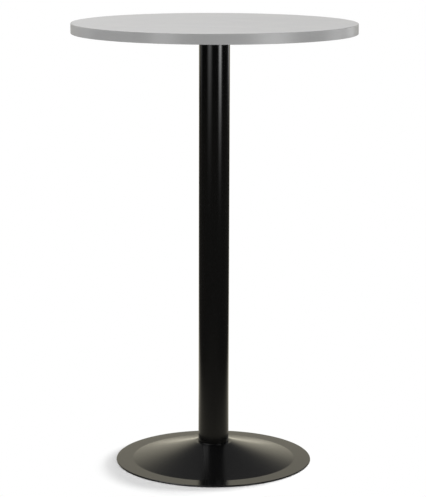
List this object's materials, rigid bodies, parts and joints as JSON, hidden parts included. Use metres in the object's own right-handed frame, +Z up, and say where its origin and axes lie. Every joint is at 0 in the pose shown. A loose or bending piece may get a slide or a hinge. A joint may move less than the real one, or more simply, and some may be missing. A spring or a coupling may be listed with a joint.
{
  "type": "round pub table",
  "caption": "High round pub table: pale laminated disc top on a black tubular column with a low flared trumpet base, standing on screw-adjusted levelling feet.",
  "frame": {"origin": "on the floor, on the axis of the column, under the middle of the top", "axes": "+Z up, -Y towards the front, +X to the right seen from the front"},
  "size_m": [0.7, 0.7, 1.1],
  "materials": {
    "top_laminate": "pale grey-white laminate, fine satin texture",
    "edge_band": "grey plastic edge band, satin, rounded edges",
    "underside_laminate": "plain balancing laminate, matt",
    "chipboard": "raw pressed chipboard, hidden inside the top",
    "powder_coat": "black powder coat, semi-gloss with fine orange peel",
    "spider_paint": "black satin paint over welded pressings",
    "casting_paint": "dark paint on rough sand-cast iron",
    "zinc_plate": "bright zinc plate",
    "pad_nylon": "black moulded nylon"
  },
  "bodies": {
    "table": {"top_core": "chipboard", "top_laminate": "top_laminate", "underside_laminate": "underside_laminate", "edge_band": "edge_band", "top_screws": "zinc_plate", "spider_hub": "spider_paint", "column_tube": "powder_coat", "column_foot_cup": "zinc_plate", "tie_rod": "zinc_plate", "tie_rod_head_washer": "zinc_plate", "tie_rod_head_nut": "zinc_plate", "tie_rod_foot_washer": "zinc_plate", "tie_rod_lock_washer": "zinc_plate", "tie_rod_foot_nut": "zinc_plate", "base_shell": "powder_coat", "ballast_casting": "casting_paint", "spider_arm_right": "spider_paint", "spider_arm_back": "spider_paint", "spider_arm_left": "spider_paint", "spider_arm_front": "spider_paint"},
    "pad_back_right": {"foot_pad_back_right": "pad_nylon"},
    "stud_back_right": {"foot_stud_back_right": "zinc_plate"},
    "pad_back_left": {"foot_pad_back_left": "pad_nylon"},
    "stud_back_left": {"foot_stud_back_left": "zinc_plate"},
    "pad_front_left": {"foot_pad_front_left": "pad_nylon"},
    "stud_front_left": {"foot_stud_front_left": "zinc_plate"},
    "pad_front_right": {"foot_pad_front_right": "pad_nylon"},
    "stud_front_right": {"foot_stud_front_right": "zinc_plate"}
  },
  "joints": [
    {"name": "foot_travel_back_right", "type": "slide", "parent": "table", "child": "pad_back_right", "axis": [0, 0, -1], "range_m": [0, 0.004]},
    {"name": "foot_screw_back_right", "type": "hinge", "parent": "pad_back_right", "child": "stud_back_right", "pos_m": [0.0997, 0.0997, 0.006], "axis": [0, 0, -1], "range_deg": [0, 1152.1]},
    {"name": "foot_travel_back_left", "type": "slide", "parent": "table", "child": "pad_back_left", "axis": [0, 0, -1], "range_m": [0, 0.004]},
    {"name": "foot_screw_back_left", "type": "hinge", "parent": "pad_back_left", "child": "stud_back_left", "pos_m": [-0.0997, 0.0997, 0.006], "axis": [0, 0, -1], "range_deg": [0, 1152.1]},
    {"name": "foot_travel_front_left", "type": "slide", "parent": "table", "child": "pad_front_left", "axis": [0, 0, -1], "range_m": [0, 0.004]},
    {"name": "foot_screw_front_left", "type": "hinge", "parent": "pad_front_left", "child": "stud_front_left", "pos_m": [-0.0997, -0.0997, 0.006], "axis": [0, 0, -1], "range_deg": [0, 1152.1]},
    {"name": "foot_travel_front_right", "type": "slide", "parent": "table", "child": "pad_front_right", "axis": [0, 0, -1], "range_m": [0, 0.004]},
    {"name": "foot_screw_front_right", "type": "hinge", "parent": "pad_front_right", "child": "stud_front_right", "pos_m": [0.0997, -0.0997, 0.006], "axis": [0, 0, -1], "range_deg": [0, 1152.1]}
  ],
  "couplings": [
    {"joint": "foot_screw_back_right", "follows": "foot_travel_back_right", "rad_per_m": 5026.5},
    {"joint": "foot_screw_back_left", "follows": "foot_travel_back_left", "rad_per_m": 5026.5},
    {"joint": "foot_screw_front_left", "follows": "foot_travel_front_left", "rad_per_m": 5026.5},
    {"joint": "foot_screw_front_right", "follows": "foot_travel_front_right", "rad_per_m": 5026.5}
  ]
}
